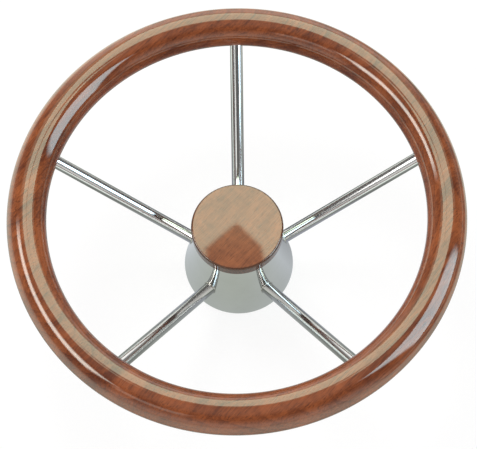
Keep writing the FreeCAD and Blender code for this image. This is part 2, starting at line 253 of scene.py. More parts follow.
# %% [markdown]
# Varnish and polished steel show the room more than they show light, so the studio is built
# for its reflections. The floor is white to the camera and keeps the wheel's shadow. Mirrored
# rays see it as a paper in graded greys, which are painted shade and light. Near the hub the
# paper goes from a dark middle, a painted shadow, to a mid grey, which the steel cone mirrors.
# Further out a painted shadow lies under the rim, and past it the paper brightens with the
# distance from the wheel's axis, which gives the rim its light edges. One plain grey would be
# simpler, but the cone would look flat and the rim's edges dull.

# %% Floor
FLOOR_SIDE = 12.0
FLOOR_SQUARES = 8
FLOOR_COLOUR = 0.86
FLOOR_WHITE = 1.05
FLOOR_CAMERA_SHARE = 0.80
NEAR_CENTRE = (0.15 * RIM_RADIUS, 0.50 * RIM_RADIUS, 0)
NEAR_RADIUS = 2.0 * RIM_RADIUS
# NEAR_STOPS and FAR_STOPS are painted shade and light: dark near the hub and under the rim, brighter
# further out.
NEAR_STOPS = [
    (0.00, (0.20, 0.21, 0.22)), (0.15, (0.24, 0.25, 0.26)), (0.28, (0.63, 0.67, 0.71)),
    (0.48, (0.55, 0.59, 0.54)), (0.70, (0.48, 0.51, 0.43)), (1.00, (0.50, 0.52, 0.46)),
]
NEAR_END = 0.65 * RIM_RADIUS
FAR_START = 0.95 * RIM_RADIUS
FAR_CENTRE = (0, 0, 0)
FAR_RADIUS = 10.0 * RIM_RADIUS
FAR_TINT = (0.92, 1.0, 0.86)
FAR_STOPS = [
    (0.00, 0.29), (0.08, 0.32), (0.13, 0.50), (0.15, 0.62), (0.165, 0.95), (0.178, 1.25),
    (0.21, 1.50), (0.25, 1.80), (0.30, 1.95), (0.45, 1.95), (1.00, 1.50),
]


def studio_object(name, bm):
    """Object of the studio from a mesh in the making."""
    mesh = bpy.data.meshes.new(name)
    bm.to_mesh(mesh)
    bm.free()
    item = bpy.data.objects.new(name, mesh)
    SCENE.collection.objects.link(item)
    return item


def painted_floor_shade(tree):
    """Grey of the floor in reflections, by its place: painted shade near the hub and under the rim,
    painted light further out.
    """
    place = add_node(tree, "ShaderNodeTexCoord").outputs["Object"]
    away = distance_to(tree, place, FAR_CENTRE)
    aside = distance_to(tree, place, NEAR_CENTRE)
    near = ramp(tree, sum_of(tree, "DIVIDE", aside, NEAR_RADIUS), NEAR_STOPS)
    far = ramp(tree, sum_of(tree, "DIVIDE", away, FAR_RADIUS), FAR_STOPS)
    far = blend(tree, 1.0, far, FAR_TINT, "MULTIPLY")
    return blend(tree, share_between(tree, away, NEAR_END, FAR_START), near, far)


def add_floor():
    """White floor that keeps the wheel's shadow, faintly where the camera looks at it."""
    bm = bmesh.new()
    bmesh.ops.create_grid(bm, x_segments=FLOOR_SQUARES, y_segments=FLOOR_SQUARES, size=FLOOR_SIDE / 2)
    floor = studio_object("studio_floor", bm)
    material = bpy.data.materials.new("studio_floor")
    tree = empty_tree(material)
    paint = add_node(tree, "ShaderNodeBsdfDiffuse", {"Color": (FLOOR_COLOUR,) * 3 + (1.0,)})
    white = add_node(tree, "ShaderNodeEmission", {"Color": (1, 1, 1, 1), "Strength": FLOOR_WHITE})
    paper = add_node(tree, "ShaderNodeEmission", {"Color": painted_floor_shade(tree), "Strength": 1.0})
    path = add_node(tree, "ShaderNodeLightPath").outputs
    mirrored = sum_of(tree, "MAXIMUM", path["Is Glossy Ray"], path["Is Transmission Ray"])
    seen = sum_of(tree, "MULTIPLY", path["Is Camera Ray"], FLOOR_CAMERA_SHARE)
    plain = add_node(tree, "ShaderNodeMixShader", {0: seen, 1: paint.outputs[0], 2: white.outputs[0]})
    inputs = {0: mirrored, 1: plain.outputs[0], 2: paper.outputs[0]}
    put_out(tree, add_node(tree, "ShaderNodeMixShader", inputs))
    floor.data.materials.append(material)
    return floor


print("floor added:", add_floor().name)

# %% [markdown]
# Beyond the floor, the world stands for the walls and the ceiling of the room. Reflections see
# it dim, with a bright low wall in front of the wheel and another behind it, so that the steel
# has something bright to mirror. The light that it gives the wood is one plain level, so that a
# colour comes out as written, and the camera sees white. A photographed room would give richer
# reflections, but it would have to be an image.

# %% Room
ROOM_COLOUR = (1.0, 1.0, 0.90)
ROOM_STOPS = [(0.0, 0.50), (0.30, 0.30), (0.50, 0.15), (0.85, 0.24), (1.0, 0.75)]
FRONT_WALL = {
    "heights": [
        (0.0, 0.95), (0.12, 1.0), (0.22, 0.95), (0.38, 0.55), (0.53, 0.35), (0.67, 0.0), (1.0, 0.0),
    ],
    "sides": [(0.0, 1.0), (0.12, 1.0), (0.22, 0.0), (1.0, 0.0)],
    "level": 1.3,
}
BACK_WALL = {
    "heights": [(0.0, 0.7), (0.21, 1.0), (0.45, 1.0), (0.60, 0.3), (1.0, 0.0)],
    "sides": [(0.0, 0.0), (0.86, 0.0), (0.97, 1.0), (1.0, 1.0)],
    "level": 2.0,
}
PLAIN_LEVEL = 0.80


def add_room():
    """Dim world, bright low in front and behind, and plain white to the camera."""
    world = bpy.data.worlds.new("studio_room")
    SCENE.world = world
    tree = empty_tree(world)
    axes = axes_of(tree, add_node(tree, "ShaderNodeTexCoord").outputs["Generated"])
    bearing = direction_of(tree, flat_of(tree, axes))
    side = sum_of(tree, "MULTIPLY_ADD", axes_of(tree, bearing)["Y"], 0.5, 0.5)
    level = ramp(tree, axes["Z"], ROOM_STOPS)
    for wall in (FRONT_WALL, BACK_WALL):
        low = ramp(tree, axes["Z"], wall["heights"])
        share = sum_of(tree, "MULTIPLY", low, ramp(tree, side, wall["sides"], "EASE"))
        level = sum_of(tree, "MULTIPLY_ADD", share, wall["level"], level)
    path = add_node(tree, "ShaderNodeLightPath").outputs
    diffuse = path["Is Diffuse Ray"]
    strength = add_node(tree, "ShaderNodeMix", {0: diffuse, 2: level, 3: PLAIN_LEVEL}).outputs[0]
    tint = blend(tree, diffuse, ROOM_COLOUR, (1.0, 1.0, 1.0))
    room = add_node(tree, "ShaderNodeBackground", {"Color": tint, "Strength": strength})
    white = add_node(tree, "ShaderNodeBackground", {"Color": (1, 1, 1, 1), "Strength": 1.0})
    inputs = {0: path["Is Camera Ray"], 1: room.outputs[0], 2: white.outputs[0]}
    put_out(tree, add_node(tree, "ShaderNodeMixShader", inputs), "ShaderNodeOutputWorld")
    return world


print("room added:", add_room().name)
SCENE.view_settings.view_transform = "Standard"

# %% [markdown]
# Varnish repeats the outline of a light and its edges. A lamp's edge is hard, so the lights
# that the wheel mirrors are glowing sheets instead. Each is one face with a border round it. An
# attribute that rises from 0 at the border's outer edge to 1 at its inner edge fades the sheet
# out. Only reflections see the sheets: they cast no shadow and don't brighten the wood's own
# colour.

# %% Glowing sheets
def add_glow(name, corners, soft, colour, level):
    """Glowing sheet that fades out over a soft border, for reflections only."""
    bm = bmesh.new()
    fade = bm.verts.layers.float.new("fade")
    sheet = bm.faces.new([bm.verts.new(corner) for corner in corners])
    bm.normal_update()
    bmesh.ops.inset_region(bm, faces=[sheet], thickness=soft, use_boundary=True, use_even_offset=True)
    for vertex in sheet.verts:
        vertex[fade] = 1.0
    glow = studio_object(name, bm)
    glow.visible_camera = False
    glow.visible_diffuse = False
    glow.visible_shadow = False
    material = bpy.data.materials.new(name)
    tree = empty_tree(material)
    fading = add_node(tree, "ShaderNodeAttribute", attribute_name="fade").outputs["Fac"]
    eased = share_between(tree, fading, 0.0, 1.0, mode="SMOOTHSTEP")
    light = add_node(tree, "ShaderNodeEmission", {"Color": (*colour, 1.0), "Strength": level})
    clear = add_node(tree, "ShaderNodeBsdfTransparent")
    inputs = {0: eased, 1: clear.outputs[0], 2: light.outputs[0]}
    put_out(tree, add_node(tree, "ShaderNodeMixShader", inputs))
    glow.data.materials.append(material)
    return glow


print("sheets can be hung")

# %% [markdown]
# The biggest sheet is a white cloth that hangs over the wheel and slopes down behind it. It
# gives the pale band that runs round the crest of the rim. Its near edge is cut in a notch, and
# the cap mirrors that notch as a warm triangle where the bare colour of the wood shows. A wider
# and weaker haze hangs a little above it and softens the band. Outlines and heights are in rim
# radii, seen from above with the top spoke pointing to +Y.

# %% Overhead cloth and haze
CLOTH_HEIGHT = 7.4
CLOTH_SLOPE = 0.40
CLOTH_LEVEL_LINE = 3.2
CLOTH_COLOUR = (0.84, 1.01, 0.77)
CLOTHS = {
    "overhead_cloth": {
        "outline": [
            (-0.15, 3.12), (0.48, 2.50), (0.58, 1.7), (2.6, 1.75), (5.1, 3.0), (4.5, 10.5),
            (-3.5, 10.5), (-3.4, 4.2), (-2.8, 2.2), (-0.75, 1.7), (-0.93, 2.50),
        ],
        "rise": 0.0, "soft": 0.20, "level": 6.2,
    },
    "cloth_haze": {
        "outline": [
            (1.5, 1.9), (3.6, 1.9), (8.2, 3.6), (7.0, 13.0),
            (-6.6, 13.0), (-6.4, 3.6), (-3.2, 2.0), (-1.5, 2.2),
        ],
        "rise": 0.3, "soft": 1.5, "level": 1.5,
    },
}


def hang_cloth(name, outline, rise, soft, level):
    """Sheet over the wheel in the sloping plane of the cloth, or a little above it."""
    top = CLOTH_HEIGHT + rise
    corners = [
        RIM_CENTRE + RIM_RADIUS * Vector((x, y, top - CLOTH_SLOPE * (y - CLOTH_LEVEL_LINE)))
        for x, y in outline
    ]
    return add_glow(name, corners, soft * RIM_RADIUS, CLOTH_COLOUR, level)


for name, sheet in CLOTHS.items():
    hang_cloth(name, **sheet)
    print(name, "added")

# %% [markdown]
# Smaller sheets give the accents. A long strip on the left makes the white streaks, and its
# weak tail draws them out toward the front. A cool panel on the right makes the broad pale
# patches. Two dim boards lie just above the floor, to the right and behind, where the rim would
# otherwise mirror a white edge. The panels turn to the rim's centre, so each needs only a place,
# a size and a soft border. The boards' outlines are in rim radii, as the cloth's are.

# %% Panels and boards
WARM_WHITE = (1.0, 1.0, 0.90)
COOL_WHITE = (0.69, 0.92, 0.97)
STRIP_DISTANCE = 2.4


def by_bearing(bearing, elevation, distance):
    """Place at a bearing clockwise from the top spoke and an elevation above the rim's plane."""
    turn, rise = math.radians(bearing), math.radians(elevation)
    flat = distance * math.cos(rise)
    return Vector((flat * math.sin(turn), flat * math.cos(turn), distance * math.sin(rise)))


PANELS = {
    "left_strip": {
        "place": by_bearing(264.5, 44.8, STRIP_DISTANCE),
        "size": (2.20, 1.04), "soft": 0.40, "colour": WARM_WHITE, "level": 13.5,
    },
    "right_panel": {
        "place": RIM_RADIUS * Vector((7.2, -1.2, 4.8)),
        "size": (0.96, 1.44), "soft": 0.13, "colour": COOL_WHITE, "level": 9.0,
    },
    "strip_tail": {
        "place": by_bearing(214, 40, STRIP_DISTANCE),
        "size": (1.20, 0.76), "soft": 0.30, "colour": WARM_WHITE, "level": 2.0,
    },
}
BOARD_SOFT = 0.8 * RIM_RADIUS
BOARDS = {
    "dark_board": {
        "outline": [
            (2.0, -2.6), (9.0, -7.0), (9.0, 6.5), (2.0, 6.2),
            (0.6, 4.2), (0.7, 2.2), (1.7, 0.8), (2.3, -0.8),
        ],
        "rise": 0.03, "level": 0.45,
    },
    "grey_board": {
        "outline": [(-1.5, 2.0), (1.6, 1.2), (3.0, 6.0), (-1.6, 5.2)],
        "rise": 0.02, "level": 0.85,
    },
}


def add_panel(name, place, size, soft, colour, level):
    """Rectangular glowing sheet turned to the rim's centre, its width level."""
    back = place.normalized()
    across = Vector((0, 0, 1)).cross(back).normalized() * size[0] / 2
    upward = back.cross(across.normalized()) * size[1] / 2
    signs = ((-1, -1), (1, -1), (1, 1), (-1, 1))
    corners = [RIM_CENTRE + place + across * x + upward * y for x, y in signs]
    return add_glow(name, corners, soft, colour, level)


for name, panel in PANELS.items():
    add_panel(name, **panel)
for name, board in BOARDS.items():
    corners = [RIM_RADIUS * Vector((x, y, board["rise"])) for x, y in board["outline"]]
    add_glow(name, corners, BOARD_SOFT, ROOM_COLOUR, board["level"])
print("added:", ", ".join([*PANELS, *BOARDS]))

# %% [markdown]
# What lights the wood itself is the plain level of the room and one soft lamp. The lamp hangs
# high over the top spoke's side of the wheel, a little to the left, so that the wheel throws a
# faint shadow toward the front. No reflection shows it. Together they are set so that a colour
# comes out about as it is written.

# %% Lamp
LAMP_PLACE = by_bearing(335, 50, 2.6)
LAMP_SIZE = 1.2
LAMP_LEVEL = 0.33


def add_lamp():
    """Soft lamp that gives a white surface in the rim's plane LAMP_LEVEL of full brightness."""
    data = bpy.data.lights.new("soft_lamp", "AREA")
    data.size = LAMP_SIZE
    slant = LAMP_PLACE.normalized().z
    data.energy = LAMP_LEVEL * (math.pi * LAMP_PLACE.length) ** 2 / slant
    lamp = bpy.data.objects.new("soft_lamp", data)
    SCENE.collection.objects.link(lamp)
    aim = LAMP_PLACE.to_track_quat("Z", "Y")
    lamp.matrix_world = Matrix.LocRotScale(RIM_CENTRE + LAMP_PLACE, aim, None)
    lamp.visible_camera = False
    lamp.visible_glossy = False
    return lamp


LAMP = add_lamp()
print(f"lamp power {LAMP.data.energy:.1f} W")

# %% [markdown]
# Two effects are used by several finishes, so each is a shader node group. The first is the
# figure of the wood: fibres that run one way through the whole board, growth rings round a pith
# that lies far outside the board, short dark pores, and a slow change of colour. It is cut in
# space, so it runs through the rim and the cap as it does through turned wood: along the rim
# where the rim follows the fibres, and across it a quarter turn further on. Each scale below is
# a number of bumps to the metre, first along the fibres and then across them.

# %% Group: wood figure
SWAY_SCALE = (7, 16, 16)
SWAY_REACH = (0.0, 0.016, 0.016)
STREAK_SCALE = (20, 620, 620)
BROAD_SCALE = (9, 60, 60)
MOTTLE_SCALE = (170, 60, 60)
PORE_SCALE = (70, 1500, 1500)
FIGURE_CONTRAST = 1.9
BROAD_START = -0.42
RING_MIDDLE = 0.4
RING_STOPS = [(0.0, 0.0), (0.72, 0.45), (0.92, 1.0), (1.0, 0.0)]
PORE_STOPS = [(0.0, 0.0), (0.56, 0.0), (0.70, 1.0), (1.0, 1.0)]
PORE_COLOUR = (0.045, 0.015, 0.009)
PORE_DARKNESS = 0.55
PORE_DEPTH = 0.6


def shader_group(name, inputs, outputs):
    """Empty shader group with named inputs and outputs, and its two end nodes."""
    tree = bpy.data.node_groups.new(name, "ShaderNodeTree")
    for label, (kind, value) in inputs.items():
        socket = tree.interface.new_socket(label, in_out="INPUT", socket_type=kind)
        if value is not None:
            socket.default_value = value
    for label, kind in outputs.items():
        tree.interface.new_socket(label, in_out="OUTPUT", socket_type=kind)
    return tree, add_node(tree, "NodeGroupInput").outputs, add_node(tree, "NodeGroupOutput").inputs


def noise(tree, vector, detail=2.0, roughness=0.5, distortion=0.0, output="Fac"):
    """Noise between 0 and 1, one bump to each unit of the vector."""
    inputs = {"Vector": vector, "Scale": 1.0, "Detail": detail, "Roughness": roughness}
    inputs["Distortion"] = distortion
    return add_node(tree, "ShaderNodeTexNoise", inputs).outputs[output]


def bent_fibres(tree, place):
    """The place, pushed sideways where the fibres wander."""
    slow = noise(tree, stretched(tree, place, SWAY_SCALE), output="Color")
    inputs = {0: slow, 1: (0.5, 0.5, 0.5)}
    sway = add_node(tree, "ShaderNodeVectorMath", inputs, operation="SUBTRACT").outputs[0]
    inputs = {0: sway, 1: SWAY_REACH, 2: place}
    return add_node(tree, "ShaderNodeVectorMath", inputs, operation="MULTIPLY_ADD").outputs[0]


def growth_rings(tree, bent, pith_depth, ring_width):
    """Light and dark of the growth rings, from the distance to the pith."""
    axes = axes_of(tree, bent)
    depth = sum_of(tree, "ADD", axes["Z"], pith_depth)
    across = add_node(tree, "ShaderNodeCombineXYZ", {"X": axes["Y"], "Y": depth}).outputs[0]
    count = sum_of(tree, "DIVIDE", length_of(tree, across), ring_width)
    return ramp(tree, sum_of(tree, "FRACT", count), RING_STOPS)


def wood_figure_group():
    """Colour, height and pores of straight-grained wood, from a place along X fibres."""
    inputs = {
        "Place": ("NodeSocketVector", None),
        "Light Wood": ("NodeSocketColor", (0.30, 0.10, 0.045, 1)),
        "Dark Wood": ("NodeSocketColor", (0.14, 0.040, 0.018, 1)),
        "Ring Width": ("NodeSocketFloat", 0.004),
        "Pith Depth": ("NodeSocketFloat", 0.09),
        "Ring Share": ("NodeSocketFloat", 0.5),
        "Mottle Share": ("NodeSocketFloat", 0.3),
    }
    outputs = {"Colour": "NodeSocketColor", "Height": "NodeSocketFloat", "Pores": "NodeSocketFloat"}
    tree, start, end = shader_group("wood_figure", inputs, outputs)
    bent = bent_fibres(tree, start["Place"])
    ring = growth_rings(tree, bent, start["Pith Depth"], start["Ring Width"])
    streak = noise(tree, stretched(tree, bent, STREAK_SCALE), detail=4.0, roughness=0.7)
    broad = noise(tree, stretched(tree, bent, BROAD_SCALE))
    mottle = noise(tree, stretched(tree, bent, MOTTLE_SCALE), detail=1.0, distortion=0.4)
    pores = ramp(tree, noise(tree, stretched(tree, bent, PORE_SCALE), detail=1.0), PORE_STOPS)
    shade = sum_of(tree, "MULTIPLY_ADD", streak, FIGURE_CONTRAST, -FIGURE_CONTRAST / 2)
    shade = sum_of(tree, "ADD", shade, sum_of(tree, "MULTIPLY_ADD", broad, FIGURE_CONTRAST, BROAD_START))
    mottle = sum_of(tree, "MULTIPLY", sum_of(tree, "SUBTRACT", mottle, 0.5), start["Mottle Share"])
    shade = sum_of(tree, "ADD", shade, mottle)
    rings = sum_of(tree, "MULTIPLY", sum_of(tree, "SUBTRACT", ring, RING_MIDDLE), start["Ring Share"])
    shade = sum_of(tree, "SUBTRACT", shade, rings, clamp=True)
    colour = blend(tree, shade, start["Dark Wood"], start["Light Wood"])
    with_pores = blend(tree, sum_of(tree, "MULTIPLY", pores, PORE_DARKNESS), colour, PORE_COLOUR)
    height = sum_of(tree, "SUBTRACT", streak, sum_of(tree, "MULTIPLY", pores, PORE_DEPTH))
    for label, result in (("Colour", with_pores), ("Height", height), ("Pores", pores)):
        tree.links.new(result, end[label])
    return tree


WOOD_FIGURE = wood_figure_group()
print("group:", WOOD_FIGURE.name, "with", len(WOOD_FIGURE.nodes), "nodes")

# %% [markdown]
# The second effect is tool marks: the fine parallel lines that turning, drawing and polishing
# leave on metal and plastic. The marks are noise that is stretched a long way in one direction.
# Slow stains go with them, the haze that hands and polish leave, because a perfectly even
# mirror looks painted.

# %% Group: tool marks
STAIN_STOPS = [(0.0, 0.0), (0.35, 0.0), (0.70, 1.0), (1.0, 1.0)]


def tool_marks_group():
    """Height and stain of fine lines: one vector for the lines and one for the stains."""
    inputs = {
        "Across": ("NodeSocketVector", None),
        "Place": ("NodeSocketVector", None),
        "Stain Size": ("NodeSocketFloat", 0.03),
    }
    outputs = {"Lines": "NodeSocketFloat", "Stain": "NodeSocketFloat"}
    tree, start, end = shader_group("tool_marks", inputs, outputs)
    lines = noise(tree, start["Across"], roughness=0.6)
    scale = sum_of(tree, "DIVIDE", 1.0, start["Stain Size"])
    inputs = {"Vector": start["Place"], "Scale": scale, "Detail": 4.0, "Roughness": 0.6}
    stain_and_edge_shade = add_node(tree, "ShaderNodeTexNoise", inputs).outputs["Fac"]
    tree.links.new(lines, end["Lines"])
    tree.links.new(ramp(tree, stain_and_edge_shade, STAIN_STOPS), end["Stain"])
    return tree


TOOL_MARKS = tool_marks_group()
print("group:", TOOL_MARKS.name, "with", len(TOOL_MARKS.nodes), "nodes")

# %% [markdown]
# The wood is varnished: a coloured, slightly rough surface under a clear, smooth coat. The coat
# of the Principled shader is that layer, so it alone gives the sharp reflections, and the pores
# only trouble the wood below it. The fibres lie on a slant across the wheel, from the lower
# left to the upper right. The rim's left and right ends are painted a little paler, a painted light
# for the extra light that falls on those sides. The cap's rounded edge is painted darker, a painted
# shade where its side turns away from the light.

# %% Finish: varnished wood
FIBRE_BEARING = math.radians(48)
BOARD_TURN = (0.06, 0.05, -FIBRE_BEARING)
WOOD_ROUGHNESS = 0.42
PORE_ROUGHNESS = 0.25
WOOD_BUMP = {"Strength": 0.25, "Distance": 0.0002}
VARNISH = {"Coat Weight": 1.0, "Coat Roughness": 0.035, "Coat IOR": 1.5, "Specular IOR Level": 0.0}
# PAINTED_LIGHT_FROM is where the painted light on the rim's two ends begins.
PAINTED_LIGHT_FROM = 0.5 * RIM_RADIUS
# EDGE_PAINTED_SHADE is the colour of painted shade on the cap's rounded edge.
EDGE_PAINTED_SHADE = (0.075, 0.030, 0.018)
EDGE_SHARE = 0.9
EDGE_BLUR = 0.0005


def new_material(name):
    """Material with an empty tree, a Principled shader and the output."""
    material = bpy.data.materials.new(name)
    tree = empty_tree(material)
    shader = add_node(tree, "ShaderNodeBsdfPrincipled")
    put_out(tree, shader)
    return material, tree, shader


def set_sockets(node, values):
    """Plain values on a node's own sockets."""
    for name, value in values.items():
        node.inputs[name].default_value = value


def bump(tree, shader, height, values):
    """Fine relief on a shader from a height."""
    node = add_node(tree, "ShaderNodeBump", {"Height": height, **values})
    tree.links.new(node.outputs["Normal"], shader.inputs["Normal"])


def varnished_wood(name, figure, shift, fineness=1.0, edge=None, painted_light=None):
    """Varnished wood cut from its own place in the board, with its own values of the figure.

    It can be darkened past an edge radius, a painted shade, and multiplied by a pale colour at the two
    ends, a painted light.
    """
    material, tree, shader = new_material(name)
    place = add_node(tree, "ShaderNodeTexCoord").outputs["Object"]
    inputs = {"Vector": place, "Location": shift, "Rotation": BOARD_TURN, "Scale": (fineness,) * 3}
    board = add_node(tree, "ShaderNodeMapping", inputs)
    group = add_node(tree, "ShaderNodeGroup", node_tree=WOOD_FIGURE)
    set_sockets(group, figure)
    tree.links.new(board.outputs[0], group.inputs["Place"])
    colour = group.outputs["Colour"]
    # Painted light: the rim's two ends are lightened by a multiplied pale colour.
    if painted_light:
        aside = sum_of(tree, "ABSOLUTE", axes_of(tree, place)["X"])
        ends = share_between(tree, aside, PAINTED_LIGHT_FROM, RIM_RADIUS, mode="SMOOTHSTEP")
        colour = blend(tree, ends, colour, painted_light, "MULTIPLY")
    # Painted shade: past the edge radius the cap is darkened.
    if edge:
        radius = length_of(tree, stretched(tree, place, (1, 1, 0)))
        stain_and_edge_shade = share_between(tree, radius, edge - EDGE_BLUR, edge + EDGE_BLUR, EDGE_SHARE)
        colour = blend(tree, stain_and_edge_shade, colour, EDGE_PAINTED_SHADE)
    tree.links.new(colour, shader.inputs["Base Color"])
    rough = sum_of(tree, "MULTIPLY_ADD", group.outputs["Pores"], PORE_ROUGHNESS, WOOD_ROUGHNESS)
    tree.links.new(rough, shader.inputs["Roughness"])
    bump(tree, shader, group.outputs["Height"], WOOD_BUMP)
    set_sockets(shader, VARNISH)
    return material


RIM_FIGURE = {
    "Light Wood": (0.297, 0.079, 0.025, 1.0),
    "Dark Wood": (0.113, 0.0265, 0.0105, 1.0),
    "Ring Width": 0.0055,
    "Ring Share": 0.35,
    "Mottle Share": 0.5,
}
CAP_FIGURE = {
    "Light Wood": (0.35, 0.118, 0.045, 1.0),
    "Dark Wood": (0.19, 0.060, 0.025, 1.0),
    "Ring Width": 0.0072,
    "Ring Share": 0.20,
    "Mottle Share": 0.8,
}
RIM_SHIFT = (0.02, 0.05, 0.0)
CAP_SHIFT = (0.3, 0.11, 0.05)
# The rim's pale colour is painted light for its left and right ends.
RIM_PAINTED_LIGHT = (1.12, 1.20, 1.25)
CAP_FINENESS = 1.8
CAP_EDGE = 0.0349
RIM_WOOD = varnished_wood("varnished_rim", RIM_FIGURE, RIM_SHIFT, painted_light=RIM_PAINTED_LIGHT)
CAP_WOOD = varnished_wood("varnished_cap", CAP_FIGURE, CAP_SHIFT, CAP_FINENESS, edge=CAP_EDGE)
print("finishes:", RIM_WOOD.name, CAP_WOOD.name)

# %% [markdown]
# The bare metal is stainless steel. On the rods the polishing lines run lengthwise, so their
# finish reads the place along and across the rod that its mesh carries. On the cone and on the
# turned core the lines are rings round the shaft, so those finishes measure the distance from
# the shaft's axis and the height along it. A brushed image would be quicker, but it would not
# follow the cone.

# %% Finish: steel
STEEL_PITCH = 0.0006
STEEL_TURNS = 2.0
ROD_LINES = (2500, 2500, 4)


def ring_place(tree, pitch, turns):
    """Vector that changes fast with radius and height, and slowly round the shaft's axis."""
    place = add_node(tree, "ShaderNodeTexCoord").outputs["Object"]
    axes = axes_of(tree, place)
    flat = flat_of(tree, axes)
    turn = axes_of(tree, direction_of(tree, flat))
    run = sum_of(tree, "ADD", length_of(tree, flat), axes["Z"])
    inputs = {
        "X": sum_of(tree, "DIVIDE", run, pitch),
        "Y": sum_of(tree, "MULTIPLY", turn["X"], turns),
        "Z": sum_of(tree, "MULTIPLY", turn["Y"], turns),
    }
    return place, add_node(tree, "ShaderNodeCombineXYZ", inputs).outputs[0]


def mark_surface(tree, shader, colours, place, across, marks):
    """Colour, roughness and relief of a surface from its tool marks."""
    group = add_node(tree, "ShaderNodeGroup", {"Across": across, "Place": place}, node_tree=TOOL_MARKS)
    group.inputs["Stain Size"].default_value = marks["stain_size"]
    lines, stain_and_edge_shade = group.outputs["Lines"], group.outputs["Stain"]
    rough = sum_of(tree, "MULTIPLY_ADD", lines, marks["rough_lines"], marks["rough"])
    rough = sum_of(tree, "MULTIPLY_ADD", stain_and_edge_shade, marks["rough_stain"], rough)
    tree.links.new(rough, shader.inputs["Roughness"])
    tree.links.new(blend(tree, stain_and_edge_shade, *colours), shader.inputs["Base Color"])
    bump(tree, shader, lines, {"Strength": 1.0, "Distance": marks["relief"]})


def steel(name, colours, marks, along_rod=False):
    """Stainless steel whose tool marks are rings round the shaft, or run along a rod."""
    material, tree, shader = new_material(name)
    if along_rod:
        place = add_node(tree, "ShaderNodeAttribute", attribute_name="rod_place").outputs["Vector"]
        lines = stretched(tree, place, ROD_LINES)
    else:
        place, lines = ring_place(tree, STEEL_PITCH, STEEL_TURNS)
    mark_surface(tree, shader, colours, place, lines, marks)
    set_sockets(shader, {"Metallic": 1.0})
    return material


BRIGHT = ((0.66, 0.66, 0.64), (0.60, 0.60, 0.58))
DRAWN = ((0.47, 0.463, 0.50), (0.42, 0.414, 0.447))
TURNED = ((0.50, 0.49, 0.47), (0.40, 0.39, 0.37))
ROD_MARKS = dict(stain_size=0.03, rough=0.09, rough_lines=0.03, rough_stain=0.04, relief=1.5e-7)
SHELL_MARKS = dict(stain_size=0.05, rough=0.04, rough_lines=0.03, rough_stain=0.04, relief=4e-7)
CORE_MARKS = dict(stain_size=0.012, rough=0.22, rough_lines=0.25, rough_stain=0.12, relief=1e-5)
SCREW_MARKS = dict(stain_size=0.006, rough=0.22, rough_lines=0.15, rough_stain=0.15, relief=4e-6)
WELD_MARKS = dict(stain_size=0.004, rough=0.16, rough_lines=0.15, rough_stain=0.20, relief=4e-6)
ROD_STEEL = steel("polished_rod", DRAWN, ROD_MARKS, along_rod=True)
SHELL_STEEL = steel("polished_shell", BRIGHT, SHELL_MARKS)
CORE_STEEL = steel("turned_core", TURNED, CORE_MARKS)
SCREW_STEEL = steel("screw_steel", TURNED, SCREW_MARKS)
WELD_STEEL = steel("dressed_weld", TURNED, WELD_MARKS)
print("steel finishes ready")

# %% [markdown]
# Behind the cap sit two pieces that are only seen when it is pulled off: a turned plastic
# spigot and a rubber ring. Plastic that has been turned has faint rings and a soft sheen, and
# rubber is dull, a little dusty and never quite black. Both are the steel's network without
# the metal.

# %% Finish: plastic and rubber
DULL_PITCH = 0.0008
DULL_TURNS = 3.0
PLASTIC = ((0.035, 0.035, 0.038), (0.055, 0.055, 0.056))
RUBBER = ((0.018, 0.018, 0.019), (0.045, 0.044, 0.042))
PLASTIC_MARKS = dict(stain_size=0.01, rough=0.38, rough_lines=0.12, rough_stain=0.10, relief=1e-5)
RUBBER_MARKS = dict(stain_size=0.004, rough=0.62, rough_lines=0.10, rough_stain=0.15, relief=2e-5)


def dull_surface(name, colours, marks):
    """Plastic or rubber with faint turning rings and dusty patches."""
    material, tree, shader = new_material(name)
    place, lines = ring_place(tree, DULL_PITCH, DULL_TURNS)
    mark_surface(tree, shader, colours, place, lines, marks)
    return material


SPIGOT_PLASTIC = dull_surface("spigot_plastic", PLASTIC, PLASTIC_MARKS)
SEAL_RUBBER = dull_surface("seal_rubber", RUBBER, RUBBER_MARKS)
print("dull finishes ready")

# %% [markdown]
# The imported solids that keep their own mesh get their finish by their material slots. Their
# shape is already right, down to the rounded edge of the cap and the holes in the cone.

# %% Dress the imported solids
SOLID_FINISHES = {
    "wooden_cap": CAP_WOOD,
    "hub_shell": SHELL_STEEL,
    "hub_core": CORE_STEEL,
    "cap_spigot": SPIGOT_PLASTIC,
    "cap_seal": SEAL_RUBBER,
    "cap_screws": SCREW_STEEL,
}
for node, finish in SOLID_FINISHES.items():
    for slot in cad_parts[node].material_slots:
        slot.material = finish
print("dressed:", ", ".join(SOLID_FINISHES))

# %% [markdown]
# The other pieces follow a rule: a section swept along a ring, a rod laid from one place to
# another, a bead along a curve on a surface. Geometry Nodes make such a piece from a few named
# sizes, so a change of size needs no new mesh. Every tree ends in the same steps, and its
# result is kept as a plain mesh.

# %% Helpers for Geometry Nodes
SOCKET_KINDS = {
    "Float": "NodeSocketFloat",
    "Int": "NodeSocketInt",
    "Vector": "NodeSocketVector",
    "Object": "NodeSocketObject",
    "Material": "NodeSocketMaterial",
}
CREASE_ANGLE = math.radians(35)


def geometry_tree(name, inputs):
    """Empty tree with named inputs and a finish, and its two end nodes."""
    tree = bpy.data.node_groups.new(name, "GeometryNodeTree")
    tree.interface.new_socket("Geometry", in_out="OUTPUT", socket_type="NodeSocketGeometry")
    for label, kind in {**inputs, "Finish": "Material"}.items():
        tree.interface.new_socket(label, in_out="INPUT", socket_type=SOCKET_KINDS[kind])
    return tree, add_node(tree, "NodeGroupInput").outputs, add_node(tree, "NodeGroupOutput").inputs


